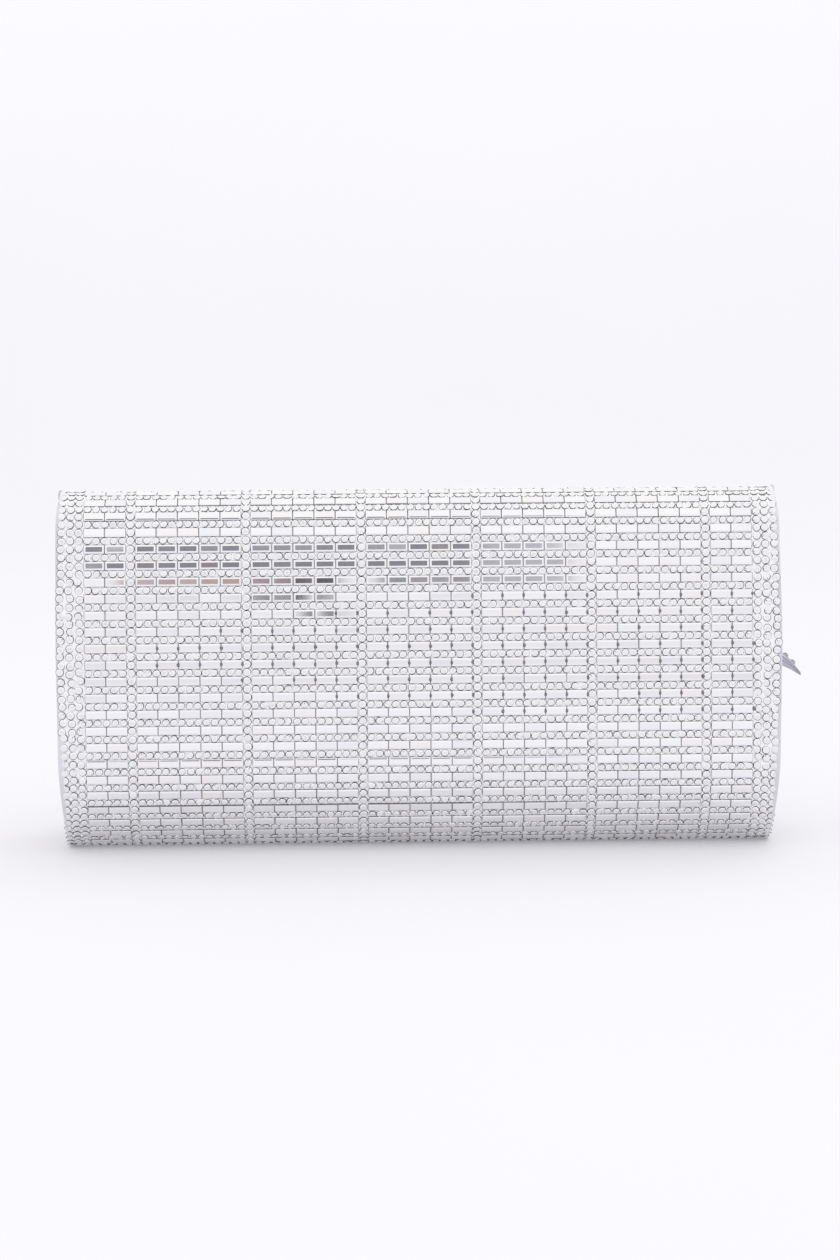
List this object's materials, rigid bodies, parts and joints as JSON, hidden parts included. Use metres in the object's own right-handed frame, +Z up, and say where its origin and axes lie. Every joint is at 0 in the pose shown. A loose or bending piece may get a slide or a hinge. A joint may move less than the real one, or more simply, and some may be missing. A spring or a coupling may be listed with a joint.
{
  "type": "evening bag",
  "caption": "Pillow-shaped evening clutch with a stiff crystal-covered body, satin edges and lining, and a lifting flap with a magnetic catch and a pointed pull tab.",
  "frame": {"origin": "middle of the flat underside, on the surface the bag stands on", "axes": "+X to the right across the width when the plain back face is looked at, +Y from the back face towards the flap, +Z up"},
  "size_m": [0.2655, 0.0607, 0.1252],
  "materials": {
    "crystals": "foil-backed faceted crystals set edge to edge",
    "satin": "silver grey satin",
    "lining_satin": "silver grey satin lining",
    "stiffener": "stiff bag board",
    "magnet_steel": "bright nickel plate"
  },
  "bodies": {
    "body": {"crystal_sheet_back": "crystals", "crystal_sheet_base": "crystals", "crystal_sheet_front": "crystals", "front_satin_panel": "satin", "magnet_socket": "magnet_steel", "satin_cover_back": "satin", "satin_cover_base": "satin", "satin_cover_front": "satin", "back_board": "stiffener", "base_board": "stiffener", "front_board": "stiffener", "magnet_plate_body": "magnet_steel", "mouth_binding": "satin", "side_panel_left": "satin", "side_panel_right": "satin", "lining": "lining_satin", "slip_pocket": "lining_satin"},
    "flap": {"crystal_sheet_top": "crystals", "crystal_sheet_flap": "crystals", "flap_board": "stiffener", "flap_lining": "lining_satin", "magnet_plate_flap": "magnet_steel", "magnet_stud": "magnet_steel", "flap_binding_left": "satin", "flap_binding_right": "satin", "flap_hem": "satin", "pull_tab": "satin", "pull_tab_crystals": "crystals"}
  },
  "joints": [
    {"name": "flap_lift", "type": "hinge", "parent": "body", "child": "flap", "pos_m": [0, -0.00817, 0.12522], "axis": [1, 0, 0], "range_deg": [0, 150]}
  ]
}
